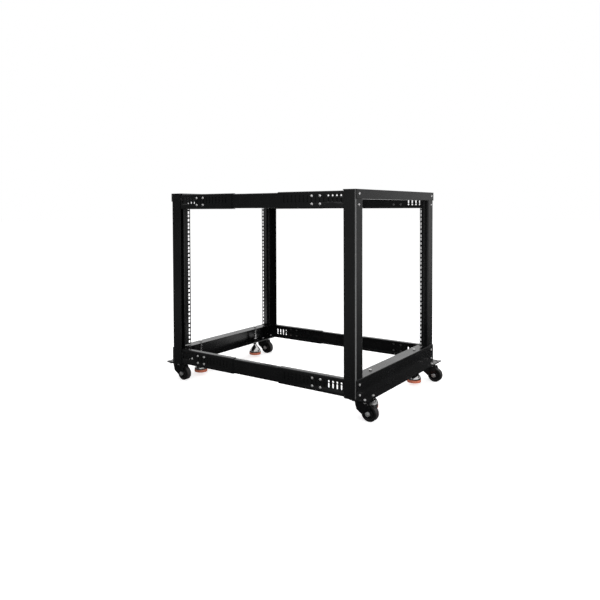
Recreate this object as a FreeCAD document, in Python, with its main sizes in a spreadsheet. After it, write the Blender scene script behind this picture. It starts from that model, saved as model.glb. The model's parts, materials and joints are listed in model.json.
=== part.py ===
import FreeCAD, Part
import os
import Sketcher

# Four post open frame rack, 12 rack units, on swivel casters with levelling feet.
# Millimetres. Origin on the floor under the middle of the rack, -Y is the front, +Z is up.

doc = FreeCAD.newDocument("open_frame_rack")
sheet = doc.addObject("Spreadsheet::Sheet", "sizes")

SIZES = {
    # overall
    "mounting_depth": 732.0,    # front mounting face to rear mounting face
    "rack_units": 12.0,
    "unit_height": 44.45,
    "rail_opening": 450.0,      # clear width between the mounting flanges
    "hole_setback": 7.55,       # hole column in from the flange's edge, 465.1 between columns
    "end_hole_height": 6.35,    # first hole above the edge of its rack unit
    "square_hole": 9.5,
    # sheet metal
    "sheet": 2.0,
    "bend_radius": 2.0,
    # posts
    "head_room": 30.6,          # post above the last rack unit
    "post_side": 42.0,          # depth of the outer web
    "post_face": 43.0,          # width of the end face
    "mounting_flange": 32.0,    # width of the flange with the square holes
    "flange_recess": 18.0,      # mounting face back from the end face
    "flange_notch": 2.2,        # mounting flange stops this far above the base beam
    # base beams
    "base_plate": 3.0,
    "base_plate_lip": 32.0,     # plate outside the beam's web
    "base_depth": 43.0,         # web face to the inner edge of flange and plate
    "base_beam_height": 56.8,   # above the plate
    "unit_clearance": 5.2,      # first rack unit above the base beam
    "notch_clearance": 0.5,
    "beam_edge_radius": 1.8,    # outer round of the beams' folds
    # top beams
    "top_beam_height": 30.0,
    "top_beam_depth": 46.0,
    "top_beam_lip": 18.0,
    # telescoping side rails
    "channel_height": 54.0,
    "channel_flange": 20.0,
    "front_channel": 285.0,
    "rear_channel": 285.0,
    "front_overlap": 185.0,     # middle channel inside the front channel
    "rear_overlap": 170.0,
    "slide_gap": 0.2,
    "end_tab_gap": 3.0,         # end tab to the post's inner web
    "end_tab_height": 46.0,
    "first_column": 49.0,       # first hole column from the end face
    "column_pitch": 15.0,
    "round_hole": 6.4,
    "hole_rise": 12.5,          # round hole above the slot's centre
    "slot_length": 15.5,
    "slot_width": 5.5,
    "front_columns": 4.0,
    "rear_columns": 4.0,
    # casters
    "caster_height": 67.5,
    "caster_side_inset": 40.0,
    "caster_end_inset": 30.5,
    "caster_trail": 22.5,
    "caster_plate": 2.5,
    "caster_plate_length": 76.0,
    "caster_plate_width": 54.0,
    "wheel_diameter": 50.0,
    "wheel_width": 20.0,
    "wheel_side_gap": 2.0,
    "hub_side_gap": 0.3,
    "hub_radius": 8.0,
    "rim_inner_radius": 17.5,
    "web_half_width": 6.0,
    "tread_shoulder": 1.2,
    "fork_sheet": 2.5,
    "leg_back_reach": 16.5,     # back edge of the legs, at the middle of their height
    "leg_back_height": 33.0,
    "leg_heel_reach": 3.0,      # back corner of the legs, in front of the swivel axis
    "leg_heel_height": 19.8,
    "crown_radius": 23.0,
    "crown_top": 57.5,
    "kingpin_radius": 5.0,
    "kingpin_head_radius": 7.0,
    "kingpin_head": 2.7,
    "race_radius": 21.0,
    "race_gap": 0.3,
    "axle_radius": 4.0,
    "axle_head_radius": 6.5,
    "axle_head": 5.0,
    "running_gap": 0.05,
    # brake lever
    "lever_sheet": 2.0,
    "lever_pin_radius": 1.5,
    "lever_barrel_radius": 1.8,
    "lever_pin_forward": 21.5,
    "lever_crown_gap": 0.3,
    "lever_reach": 21.5,
    "lever_rise": 6.0,
    "lever_nose_rise": 2.2,
    "lever_drop": 7.5,
    "cheek_sheet": 1.2,
    "cheek_drop": 13.0,         # lower edge of the cheek, below the pin
    # levelling feet
    "foot_side_inset": 129.0,
    "foot_inset": 21.0,
    "foot_diameter": 50.0,
    "foot_lift": 11.5,
    "pad_height": 9.0,
    "bell_height": 26.0,
    "bell_edge": 1.5,
    "neck_radius": 7.0,
    "neck_height": 8.0,
    "stud_radius": 5.0,
    "stud_proud": 4.0,
    "stud_clearance": 0.3,
}
for row, (name, size) in enumerate(SIZES.items(), start=1):
    sheet.set("A%d" % row, name)
    sheet.set("B%d" % row, str(size))
    sheet.setAlias("B%d" % row, name)
doc.recompute()


def s(expression):
    """Write the sheet's name before each size in an expression."""
    words = expression.replace("(", " ( ").replace(")", " ) ").split()
    return " ".join("sizes." + w if w in SIZES else w for w in words)


def value(expression):
    """The present value of an expression on the sheet."""
    return float(sheet.evalExpression(s(expression)))


# Places that several pieces share
SIDE = "( rail_opening / 2 + mounting_flange + post_face )"
MOUNT_Y = "( mounting_depth / 2 )"
FACE_Y = "( mounting_depth / 2 + flange_recess )"
BEAM_Y = "( mounting_depth / 2 + flange_recess + sheet )"
WEB_X = "( rail_opening / 2 + mounting_flange )"
POST_LENGTH = "( base_beam_height + unit_clearance + rack_units * unit_height + head_room )"
PLATE_TOP = "( caster_height + base_plate )"
BASE_TOP = "( caster_height + base_plate + base_beam_height )"
POST_TOP = "( caster_height + base_plate + %s )" % POST_LENGTH
FIRST_UNIT = "( base_beam_height + unit_clearance )"
BEND_OUT = "( bend_radius + sheet )"
CASTER_X = "( %s - caster_side_inset )" % SIDE
FOOT_X = "( %s - foot_side_inset )" % SIDE
HOLE_X = "( rail_opening / 2 + hole_setback )"
CASTER_Y = "( %s + base_plate_lip - caster_end_inset )" % BEAM_Y
FOOT_Y = "( %s - foot_inset )" % BEAM_Y
FORK_IN = "( wheel_width / 2 + wheel_side_gap )"
FORK_OUT = "( wheel_width / 2 + wheel_side_gap + fork_sheet )"
RACE_BOTTOM = "( crown_top + race_gap )"
LEVER_Z = "( crown_top - fork_sheet - lever_crown_gap - lever_barrel_radius )"

nodes = []


# Building helpers
def new_body(name, place=("0", "0", "0")):
    body = doc.addObject("PartDesign::Body", name)
    body.Label = name
    for axis, expression in zip("xyz", place):
        body.setExpression(".Placement.Base." + axis, s(expression) + " + 0 * sizes.sheet")
    nodes.append(body)
    return body


def origin_part(body, role):
    return next(f for f in body.Origin.OriginFeatures if f.Role == role)


def new_sketch(body, name, plane, offset=None):
    sketch = body.newObject("Sketcher::SketchObject", name)
    sketch.AttachmentSupport = [(origin_part(body, plane + "_Plane"), "")]
    sketch.MapMode = "FlatFace"
    if offset:
        sketch.setExpression(".AttachmentOffset.Base.z", s(offset))
    return sketch


def pin_point(sketch, geometry, which, x, y):
    """Bind one sketch point to two expressions."""
    for kind, expression in (("DistanceX", x), ("DistanceY", y)):
        number = sketch.addConstraint(
            Sketcher.Constraint(kind, -1, 1, geometry, which, value(expression)))
        sketch.setExpression("Constraints[%d]" % number, s(expression))


def outline(sketch, corners):
    """A closed run of straight edges through corners given as expressions."""
    points = [FreeCAD.Vector(value(x), value(y), 0) for x, y in corners]
    edges = []
    for start, end in zip(points, points[1:] + points[:1]):
        edges.append(sketch.addGeometry(Part.LineSegment(start, end)))
    for edge, following in zip(edges, edges[1:] + edges[:1]):
        sketch.addConstraint(Sketcher.Constraint("Coincident", edge, 2, following, 1))
    for edge, (x, y) in zip(edges, corners):
        pin_point(sketch, edge, 1, x, y)


def rectangle(sketch, left, bottom, right, top):
    outline(sketch, [(left, bottom), (right, bottom), (right, top), (left, top)])


def circle(sketch, x, y, radius):
    centre = FreeCAD.Vector(value(x), value(y), 0)
    ring = sketch.addGeometry(Part.Circle(centre, FreeCAD.Vector(0, 0, 1), value(radius)))
    pin_point(sketch, ring, 3, x, y)
    number = sketch.addConstraint(Sketcher.Constraint("Radius", ring, value(radius)))
    sketch.setExpression("Constraints[%d]" % number, s(radius))


def pad(body, name, sketch, length, symmetric=False, backwards=False):
    feature = body.newObject("PartDesign::Pad", name)
    feature.Profile = sketch
    feature.setExpression("Length", s(length))
    feature.SideType = "Symmetric" if symmetric else "One side"
    feature.Reversed = backwards
    doc.recompute()
    return feature


def pocket_through(body, name, sketch, length=None):
    """Cut both ways from the sketch, right through or over a stated total length."""
    before = body.Shape.Volume
    feature = body.newObject("PartDesign::Pocket", name)
    feature.Profile = sketch
    feature.SideType = "Symmetric"
    if length:
        feature.setExpression("Length", s(length))
    else:
        feature.Type = "ThroughAll"
    doc.recompute()
    if not body.Shape.Volume < before - 1e-6:
        raise RuntimeError(name + " cuts nothing")
    return feature


def revolve(body, name, sketch, axis):
    feature = body.newObject("PartDesign::Revolution", name)
    feature.Profile = sketch
    feature.ReferenceAxis = (origin_part(body, axis + "_Axis"), [""])
    feature.Angle = 360.0
    doc.recompute()
    return feature


def row_of(body, name, feature, axis, length, count):
    pattern = body.newObject("PartDesign::LinearPattern", name)
    pattern.Originals = [feature]
    pattern.Direction = (origin_part(body, axis + "_Axis"), [""])
    pattern.setExpression("Length", s(length))
    pattern.setExpression("Occurrences", s(count))
    body.Tip = pattern
    doc.recompute()
    return pattern


def bend(body, name, radius, along, spots):
    """Round the edges that run along an axis through the given spots."""
    feature = body.Tip
    names = []
    for spot in spots:
        vertex = Part.Vertex(*[value(c) for c in spot])
        for number, edge in enumerate(feature.Shape.Edges, start=1):
            if edge.Curve.TypeId != "Part::GeomLine":
                continue
            direction = edge.tangentAt(edge.FirstParameter)
            lined_up = abs(direction.dot(along)) > 0.999
            if lined_up and edge.distToShape(vertex)[0] < 1e-4:
                names.append("Edge%d" % number)
    if len(names) != len(spots):
        raise RuntimeError(name + " found %d of %d edges" % (len(names), len(spots)))
    fillet = body.newObject("PartDesign::Fillet", name)
    fillet.Base = (feature, names)
    fillet.setExpression("Radius", s(radius))
    doc.recompute()
    return fillet


def reflected(name, source, normal, height="0"):
    copy = doc.addObject("Part::Mirroring", name)
    copy.Label = name
    copy.Source = source
    copy.Normal = normal
    copy.setExpression("Base.z", s(height) + " + 0 * sizes.sheet")
    return copy


def mirrored(name, source, normal):
    copy = reflected(name, source, normal)
    nodes.append(copy)
    return copy


def turned_over(name, source, height):
    """The same part turned half round a lengthwise line at a height over the rack's middle."""
    across = reflected(name + "_across", source, ALONG_X)
    copy = reflected(name, across, ALONG_Z, height)
    nodes.append(copy)
    return copy


ALONG_X = FreeCAD.Vector(1, 0, 0)
ALONG_Y = FreeCAD.Vector(0, 1, 0)
ALONG_Z = FreeCAD.Vector(0, 0, 1)


# Posts: a hat-shaped sheet section. The outer web, end face and inner web make a channel that
# opens towards the rack's middle, and the mounting flange carries the square holes.
def front_left_post():
    body = new_body("front_left_post", ("0", "0", PLATE_TOP))
    section = new_sketch(body, "post_section", "XY")
    outline(section, [
        ("- " + SIDE, "- %s + post_side" % FACE_Y),
        ("- " + SIDE, "- " + FACE_Y),
        ("- " + WEB_X, "- " + FACE_Y),
        ("- " + WEB_X, "- " + MOUNT_Y),
        ("- rail_opening / 2", "- " + MOUNT_Y),
        ("- rail_opening / 2", "- %s + sheet" % MOUNT_Y),
        ("- %s - sheet" % WEB_X, "- %s + sheet" % MOUNT_Y),
        ("- %s - sheet" % WEB_X, "- %s + sheet" % FACE_Y),
        ("- %s + sheet" % SIDE, "- %s + sheet" % FACE_Y),
        ("- %s + sheet" % SIDE, "- %s + post_side" % FACE_Y),
    ])
    pad(body, "post_sheet", section, POST_LENGTH)
    middle = POST_LENGTH + " / 2"
    bend(body, "post_outer_bends", BEND_OUT, ALONG_Z, [
        ("- " + SIDE, "- " + FACE_Y, middle),
        ("- " + WEB_X, "- " + FACE_Y, middle),
        ("- %s - sheet" % WEB_X, "- %s + sheet" % MOUNT_Y, middle)])
    bend(body, "post_inner_bends", "bend_radius", ALONG_Z, [
        ("- %s + sheet" % SIDE, "- %s + sheet" % FACE_Y, middle),
        ("- %s - sheet" % WEB_X, "- %s + sheet" % FACE_Y, middle),
        ("- " + WEB_X, "- " + MOUNT_Y, middle)])
    # the mounting flange stops above the base beam's top flange
    notch = new_sketch(body, "flange_notch_outline", "XZ")
    rectangle(notch, "- " + WEB_X, "- sheet", "- rail_opening / 2 + sheet",
              "base_beam_height + flange_notch")
    pocket_through(body, "flange_notch_cut", notch)
    # three square holes in the first rack unit, repeated up the post
    squares = new_sketch(body, "unit_squares", "XZ")
    for height in ("end_hole_height", "unit_height / 2", "unit_height - end_hole_height"):
        rectangle(squares,
                  "- %s - square_hole / 2" % HOLE_X,
                  "%s + %s - square_hole / 2" % (FIRST_UNIT, height),
                  "- %s + square_hole / 2" % HOLE_X,
                  "%s + %s + square_hole / 2" % (FIRST_UNIT, height))
    holes = pocket_through(body, "unit_holes", squares)
    row_of(body, "unit_rows", holes, "Z", "( rack_units - 1 ) * unit_height", "rack_units")
    return body


# Base beams: a channel web with a top flange between the posts, on a flat plate that carries
# the posts, the casters and the levelling feet.
def front_base_beam():
    body = new_body("front_base_beam", ("0", "0", "caster_height"))
    section = new_sketch(body, "base_section", "YZ")
    edge = "- %s + base_depth" % BEAM_Y
    top = "base_plate + base_beam_height"
    outline(section, [
        ("- %s - base_plate_lip" % BEAM_Y, "0"),
        (edge, "0"),
        (edge, "base_plate"),
        ("- %s + sheet" % BEAM_Y, "base_plate"),
        ("- %s + sheet" % BEAM_Y, top),
        ("- " + BEAM_Y, top),
        ("- " + BEAM_Y, "base_plate"),
        ("- %s - base_plate_lip" % BEAM_Y, "base_plate"),
    ])
    pad(body, "base_web_and_plate", section, "2 * " + SIDE, symmetric=True)
    flange = new_sketch(body, "base_flange_section", "YZ")
    rectangle(flange, "- %s + sheet / 2" % BEAM_Y, top + " - sheet", edge, top)
    pad(body, "base_flange", flange, "2 * ( %s - notch_clearance )" % WEB_X, symmetric=True)
    bend(body, "base_fold", "beam_edge_radius", ALONG_X, [("0", "- " + BEAM_Y, top)])
    studs = new_sketch(body, "stud_holes_outline", "XY")
    for side in ("", "- "):
        circle(studs, side + FOOT_X, "- " + FOOT_Y, "stud_radius + stud_clearance")
    pocket_through(body, "stud_holes", studs)
    return body


# Top beams: a channel bolted on the end faces, its top flange over the ends of the posts.
def front_top_beam():
    height = "%s + sheet - top_beam_height" % POST_TOP
    body = new_body("front_top_beam", ("0", "0", height))
    section = new_sketch(body, "top_section", "YZ")
    inner = "- %s + sheet" % BEAM_Y
    outline(section, [
        ("- " + BEAM_Y, "0"),
        (inner, "0"),
        (inner, "top_beam_height - sheet"),
        ("- %s + top_beam_depth" % BEAM_Y, "top_beam_height - sheet"),
        ("- %s + top_beam_depth" % BEAM_Y, "top_beam_height"),
        ("- " + BEAM_Y, "top_beam_height"),
    ])
    pad(body, "top_web_and_flange", section, "2 * " + SIDE, symmetric=True)
    lip = new_sketch(body, "top_lip_section", "YZ")
    rectangle(lip, "- %s + sheet / 2" % BEAM_Y, "0", "- %s + top_beam_lip" % BEAM_Y, "sheet")
    pad(body, "top_lip", lip, "2 * ( %s - notch_clearance )" % WEB_X, symmetric=True)
    bend(body, "top_folds", "beam_edge_radius", ALONG_X,
         [("0", "- " + BEAM_Y, "top_beam_height"), ("0", "- " + BEAM_Y, "0")])
    return body


# Side rails: three channels that telescope. Each end channel is bolted inside a post by its end
# tab and has columns of a slot with a round hole over it; the middle channel nests in both. The
# right-hand end channels are the same parts turned over, so their round holes lie underneath.
def end_channel(name, end, bottom):
    """end is -1 for a front channel and 1 for a rear one; bottom is its lower face."""
    inside = "( %s - sheet )" % FACE_Y
    length = "front_channel" if end < 0 else "rear_channel"
    sign = "- " if end < 0 else ""
    body = new_body(name, ("- %s + sheet" % SIDE, sign + inside, bottom))
    inward = end < 0
    section = new_sketch(body, "channel_section", "XZ", offset="%s%s" % (sign, BEND_OUT))
    high = "channel_height"
    outline(section, [
        ("0", "0"), ("channel_flange", "0"), ("channel_flange", "sheet"), ("sheet", "sheet"),
        ("sheet", high + " - sheet"), ("channel_flange", high + " - sheet"),
        ("channel_flange", high), ("0", high),
    ])
    pad(body, "channel", section, "%s - %s" % (length, BEND_OUT), backwards=inward)
    middle = "%s%s / 2" % ("" if end < 0 else "- ", length)
    bend(body, "channel_outer_bends", BEND_OUT, ALONG_Y,
         [("0", middle, "0"), ("0", middle, high)])
    bend(body, "channel_inner_bends", "bend_radius", ALONG_Y,
         [("sheet", middle, "sheet"), ("sheet", middle, high + " - sheet")])
    # the end tab, turned in from the web behind the post's end face
    tab = new_sketch(body, "tab_section", "XY", offset="( channel_height - end_tab_height ) / 2")
    into = "" if end < 0 else "- "
    tab_end = "( %s - %s - 2 * sheet - end_tab_gap )" % (SIDE, WEB_X)
    outline(tab, [
        ("0", "0"), (tab_end, "0"), (tab_end, into + "sheet"),
        ("sheet", into + "sheet"), ("sheet", "%s2 * %s" % (into, BEND_OUT)),
        ("0", "%s2 * %s" % (into, BEND_OUT)),
    ])
    pad(body, "end_tab", tab, "end_tab_height")
    bend(body, "tab_outer_bend", BEND_OUT, ALONG_Z, [("0", "0", "channel_height / 2")])
    # see-through columns of holes beside the post
    column = new_sketch(body, "column_outline", "YZ")
    place = "%s first_column" % into
    centre = "channel_height / 2"
    circle(column, place, centre + " + hole_rise", "round_hole / 2")
    slot(column, place, centre)
    cut = pocket_through(body, "column_holes", column)
    count = "front_columns" if end < 0 else "rear_columns"
    columns = row_of(body, "columns", cut, "Y", "( %s - 1 ) * column_pitch" % count, count)
    columns.Reversed = end > 0
    doc.recompute()
    return body


def slot(sketch, x, y):
    """An upright slot with round ends, centred on x, y."""
    half = "slot_width / 2"
    reach = "( slot_length - slot_width ) / 2"
    cx, cy = value(x), value(y)
    r, h = value(half), value(reach)
    up = FreeCAD.Vector(0, 0, 1)
    top = sketch.addGeometry(Part.ArcOfCircle(
        Part.Circle(FreeCAD.Vector(cx, cy + h, 0), up, r), 0, 3.14159265))
    left = sketch.addGeometry(Part.LineSegment(
        FreeCAD.Vector(cx - r, cy + h, 0), FreeCAD.Vector(cx - r, cy - h, 0)))
    low = sketch.addGeometry(Part.ArcOfCircle(
        Part.Circle(FreeCAD.Vector(cx, cy - h, 0), up, r), 3.14159265, 6.2831853))
    right = sketch.addGeometry(Part.LineSegment(
        FreeCAD.Vector(cx + r, cy - h, 0), FreeCAD.Vector(cx + r, cy + h, 0)))
    for first, end_a, second, end_b in ((top, 2, left, 1), (left, 2, low, 1),
                                        (low, 2, right, 1), (right, 2, top, 1)):
        sketch.addConstraint(Sketcher.Constraint("Tangent", first, end_a, second, end_b))
    pin_point(sketch, top, 3, x, "%s + %s" % (y, reach))
    pin_point(sketch, low, 3, x, "%s - %s" % (y, reach))
    number = sketch.addConstraint(Sketcher.Constraint("Radius", top, r))
    sketch.setExpression("Constraints[%d]" % number, s(half))


def middle_channel(name, bottom):
    inside = "( %s - sheet )" % FACE_Y
    front = "- %s + front_channel - front_overlap" % inside
    length = "2 * %s - front_channel - rear_channel + front_overlap + rear_overlap" % inside
    lift = "%s + sheet + slide_gap" % bottom
    body = new_body(name, ("- %s + 2 * sheet" % SIDE, front, lift))
    high = "( channel_height - 2 * sheet - 2 * slide_gap )"
    wide = "( channel_flange - sheet )"
    section = new_sketch(body, "channel_section", "XZ")
    outline(section, [
        ("0", "0"), (wide, "0"), (wide, "sheet"), ("sheet", "sheet"),
        ("sheet", high + " - sheet"), (wide, high + " - sheet"), (wide, high), ("0", high),
    ])
    pad(body, "channel", section, length, backwards=True)
    half = "( %s ) / 2" % length
    bend(body, "channel_outer_bends", BEND_OUT, ALONG_Y, [("0", half, "0"), ("0", half, high)])
    bend(body, "channel_inner_bends", "bend_radius", ALONG_Y,
         [("sheet", half, "sheet"), ("sheet", half, high + " - sheet")])
    return body


# Casters: a bolted plate with its ball race and kingpin, a swivelling fork and a wheel.
def caster_plate(name, x, y):
    body = new_body(name, (x, y, "0"))
    race = new_sketch(body, "race_section", "XZ")
    under = "caster_height - caster_plate"
    head_top = "( crown_top - fork_sheet - race_gap )"
    outline(race, [
        ("0", head_top + " - kingpin_head"), ("kingpin_head_radius", head_top + " - kingpin_head"),
        ("kingpin_head_radius", head_top), ("kingpin_radius", head_top),
        ("kingpin_radius", RACE_BOTTOM), ("race_radius", RACE_BOTTOM),
        ("race_radius", "( %s + %s ) / 2" % (RACE_BOTTOM, under)),
        ("race_radius - fork_sheet", under), ("0", under),
    ])
    revolve(body, "race_and_kingpin", race, "Z")
    plate = new_sketch(body, "plate_outline", "XY", offset=under)
    half_length = "caster_plate_length / 2"
    half_width = "caster_plate_width / 2"
    rectangle(plate, "- " + half_length, "- " + half_width, half_length, half_width)
    pad(body, "plate", plate, "caster_plate")
    return body


def caster_fork(name, x, y, with_lever):
    body = new_body(name, (x, y, "0"))
    legs = new_sketch(body, "leg_outline", "YZ")
    axle_z = "wheel_diameter / 2"
    outline(legs, [
        ("crown_radius", "crown_top"),
        ("- crown_radius - fork_sheet", "crown_top"),
        ("- caster_trail - axle_head_radius - 2 * fork_sheet", axle_z),
        ("- caster_trail - axle_head_radius", axle_z + " - axle_head_radius - 2 * fork_sheet"),
        ("- caster_trail + axle_head_radius", axle_z + " - axle_head_radius - 2 * fork_sheet"),
        ("- leg_heel_reach", "leg_heel_height"),
        ("leg_back_reach", "leg_back_height"),
    ])
    pad(body, "legs", legs, "2 * " + FORK_OUT, symmetric=True)
    gap = new_sketch(body, "wheel_gap_outline", "YZ")
    rectangle(gap, "- wheel_diameter - caster_trail", "0", "wheel_diameter",
              "crown_top - fork_sheet")
    pocket_through(body, "wheel_gap", gap, "2 * " + FORK_IN)
    crown = new_sketch(body, "crown_outline", "XY", offset="crown_top - fork_sheet")
    circle(crown, "0", "0", "crown_radius")
    pad(body, "crown", crown, "fork_sheet")
    bore = new_sketch(body, "bore_outline", "XY")
    circle(bore, "0", "0", "kingpin_radius + running_gap")
    pocket_through(body, "kingpin_bore", bore)
    if with_lever:
        ears = new_sketch(body, "lever_holes_outline", "YZ")
        circle(ears, "- lever_pin_forward", LEVER_Z, "lever_pin_radius + running_gap")
        pocket_through(body, "lever_holes", ears)
    axle = new_sketch(body, "axle_outline", "YZ")
    circle(axle, "- caster_trail", axle_z, "axle_radius")
    pad(body, "axle", axle, "2 * %s + 2 * axle_head" % FORK_OUT, symmetric=True)
    for side in ("", "- "):
        offset = "%s( %s + axle_head / 2 )" % (side, FORK_OUT)
        head = new_sketch(body, "axle_head_outline", "YZ", offset=offset)
        circle(head, "- caster_trail", axle_z, "axle_head_radius")
        pad(body, "axle_head", head, "axle_head", symmetric=True)
    return body


def caster_wheel(name, x, y):
    body = new_body(name, (x, y + " - caster_trail", "wheel_diameter / 2"))
    section = new_sketch(body, "wheel_section", "XY")
    hub = "( %s - hub_side_gap )" % FORK_IN
    half = "wheel_width / 2"
    radius = "wheel_diameter / 2"
    right = [
        (hub, "axle_radius + running_gap"),
        (hub, "hub_radius"),
        ("web_half_width", "hub_radius + fork_sheet"),
        ("web_half_width", "rim_inner_radius"),
        (half, "rim_inner_radius + fork_sheet / 2"),
        (half, radius + " - tread_shoulder"),
        (half + " - tread_shoulder", radius),
    ]
    left = [("- ( %s )" % a, b) for a, b in reversed(right)]
    outline(section, right + left)
    revolve(body, "wheel_solid", section, "X")
    return body


def brake_lever(name, x, y):
    """A pressed lever, its pin held in the fork's legs, with a cheek beside the tyre."""
    body = new_body(name, (x, y, "0"))
    side = new_sketch(body, "lever_side", "YZ")
    back = "- lever_pin_forward"
    inner = "- crown_radius - fork_sheet - 4 * lever_crown_gap"
    nose = "- lever_pin_forward - lever_reach"
    low = "( %s - lever_barrel_radius / 2 )" % LEVER_Z
    top = "( %s + lever_rise )" % LEVER_Z
    knee = "( %s + lever_nose_rise )" % LEVER_Z
    width = "2 * ( %s - hub_side_gap )" % FORK_IN
    outline(side, [
        (back, low),
        (inner + " - lever_sheet", low),
        (inner + " - lever_sheet", top + " - 2 * lever_sheet"),
        (nose + " + lever_sheet", knee + " - lever_sheet"),
        (nose + " + lever_sheet", knee + " - lever_drop"),
        (nose, knee + " - lever_drop"),
        (nose, knee),
        (inner + " - lever_sheet", top),
        (inner, top + " - lever_sheet / 2"),
        (inner, LEVER_Z),
        (back, LEVER_Z),
    ])
    pad(body, "lever_plate", side, width, symmetric=True)
    # a cheek turned down at the lever's inner side
    cheek = new_sketch(body, "cheek_outline", "YZ",
                       offset="%s - hub_side_gap - cheek_sheet / 2" % FORK_IN)
    bottom = "%s - cheek_drop" % LEVER_Z
    outline(cheek, [
        (inner + " - lever_sheet", "( %s + %s ) / 2" % (LEVER_Z, top)),
        (inner + " - 2 * lever_sheet", LEVER_Z),
        (nose + " + 4 * lever_sheet", bottom),
        (nose + " + lever_sheet", bottom),
        (nose, knee),
    ])
    pad(body, "cheek", cheek, "cheek_sheet", symmetric=True)
    for part, radius, length in (
            ("barrel", "lever_barrel_radius", width),
            ("pin", "lever_pin_radius", "2 * %s + 2 * hub_side_gap" % FORK_OUT)):
        ring = new_sketch(body, part + "_outline", "YZ")
        circle(ring, back, LEVER_Z, radius)
        pad(body, part, ring, length, symmetric=True)
    return body


# Levelling feet: a threaded stud with a spun bell, on a soft pad.
def foot_stud(name, x, y):
    body = new_body(name, (x, y, "foot_lift + pad_height"))
    section = new_sketch(body, "bell_section", "XZ")
    rim = "( foot_diameter / 2 - bell_edge )"
    top = "( %s + stud_proud - foot_lift - pad_height )" % BASE_TOP
    outline(section, [
        ("0", "0"), (rim, "0"), (rim, "bell_height * 0.15"),
        (rim + " - bell_edge", "bell_height * 0.4"),
        ("( %s + neck_radius ) / 2" % rim, "bell_height * 0.75"),
        ("neck_radius", "bell_height"), ("neck_radius", "bell_height + neck_height"),
        ("stud_radius", "bell_height + neck_height + bell_edge"),
        ("stud_radius", top + " - bell_edge"), ("stud_radius - bell_edge", top), ("0", top),
    ])
    revolve(body, "stud_and_bell", section, "Z")
    return body


def foot_pad(name, x, y):
    body = new_body(name, (x, y, "foot_lift"))
    section = new_sketch(body, "pad_section", "XZ")
    rim = "foot_diameter / 2"
    outline(section, [
        ("0", "0"), (rim + " - bell_edge", "0"), (rim, "bell_edge"),
        (rim, "pad_height - bell_edge / 2"), (rim + " - bell_edge / 2", "pad_height"),
        ("0", "pad_height"),
    ])
    revolve(body, "pad_disc", section, "Z")
    return body


# Assembly
left_post = front_left_post()
right_post = mirrored("front_right_post", left_post, ALONG_X)
mirrored("rear_left_post", left_post, ALONG_Y)
mirrored("rear_right_post", right_post, ALONG_Y)
mirrored("rear_base_beam", front_base_beam(), ALONG_Y)
mirrored("rear_top_beam", front_top_beam(), ALONG_Y)

LEVELS = {
    "bottom": PLATE_TOP,
    "top": "( %s - sheet - channel_height )" % POST_TOP,
}
for level, bottom in LEVELS.items():
    for end, sign in (("front", -1), ("rear", 1)):
        source = end_channel("left_%s_rail_%s" % (level, end), sign, bottom)
        turned_over("right_%s_rail_%s" % (level, end), source, bottom + " + channel_height / 2")
    source = middle_channel("left_%s_rail_middle" % level, bottom)
    mirrored("right_%s_rail_middle" % level, source, ALONG_X)

CORNERS = [("front_left", "- ", "- "), ("front_right", "", "- "),
           ("rear_left", "- ", ""), ("rear_right", "", "")]
for corner, side, end in CORNERS:
    x = side + CASTER_X
    y = end + CASTER_Y
    caster_plate(corner + "_caster_plate", x, y)
    caster_fork(corner + "_caster_fork", x, y, with_lever=corner == "front_left")
    caster_wheel(corner + "_caster_wheel", x, y)
    foot_stud(corner + "_foot_stud", side + FOOT_X, end + FOOT_Y)
    foot_pad(corner + "_foot_pad", side + FOOT_X, end + FOOT_Y)
brake_lever("brake_lever", "- " + CASTER_X, "- " + CASTER_Y)

doc.recompute()
for item in doc.Objects:
    if "Invalid" in item.State or "Error" in item.State:
        raise RuntimeError("%s failed: %s" % (item.Name, item.State))
os.makedirs("parts", exist_ok=True)
for node in nodes:
    if node.Shape.isNull() or not node.Shape.isValid():
        raise RuntimeError(node.Label + " has no valid shape")
    node.Shape.exportStep("parts/%s.step" % node.Label)
print("%d pieces written" % len(nodes))
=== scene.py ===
# %% [markdown]
# # A four post open frame rack
# The steel frame, the casters and the levelling feet arrive as finished solids. This lesson
# dresses them: it sets the camera, the studio and the finishes, perforates the side rails, and
# adds the screws, nuts and threads that hold the real rack together.

# %% Load the rack
import json
import math

import bmesh
import bpy
from mathutils import Matrix, Vector


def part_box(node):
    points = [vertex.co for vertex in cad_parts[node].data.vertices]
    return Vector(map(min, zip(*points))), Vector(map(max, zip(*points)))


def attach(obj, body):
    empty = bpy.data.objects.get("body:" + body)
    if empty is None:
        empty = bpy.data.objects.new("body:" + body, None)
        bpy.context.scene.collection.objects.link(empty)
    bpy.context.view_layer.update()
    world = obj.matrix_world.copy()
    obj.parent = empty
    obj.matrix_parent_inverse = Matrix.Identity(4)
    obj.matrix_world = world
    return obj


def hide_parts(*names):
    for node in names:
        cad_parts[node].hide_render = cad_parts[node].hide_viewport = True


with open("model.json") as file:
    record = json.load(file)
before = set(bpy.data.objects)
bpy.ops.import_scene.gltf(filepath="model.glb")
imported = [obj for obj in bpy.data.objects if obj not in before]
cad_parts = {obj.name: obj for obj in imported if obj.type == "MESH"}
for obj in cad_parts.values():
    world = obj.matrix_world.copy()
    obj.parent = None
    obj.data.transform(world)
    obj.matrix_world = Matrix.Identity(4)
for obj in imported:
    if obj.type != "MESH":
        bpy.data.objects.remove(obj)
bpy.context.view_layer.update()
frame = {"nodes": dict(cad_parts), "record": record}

nodes = frame["nodes"]
MM = 0.001
print(len(nodes), "solids loaded")

# %% [markdown]
# ## Camera
# The rack is seen from its front left, at about the height of the top beam. A place, an aim and
# a lens are enough to set a camera. A small roll levels the posts, and the lens shift frames
# the rack without tilting the camera, which keeps the posts upright.

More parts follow.
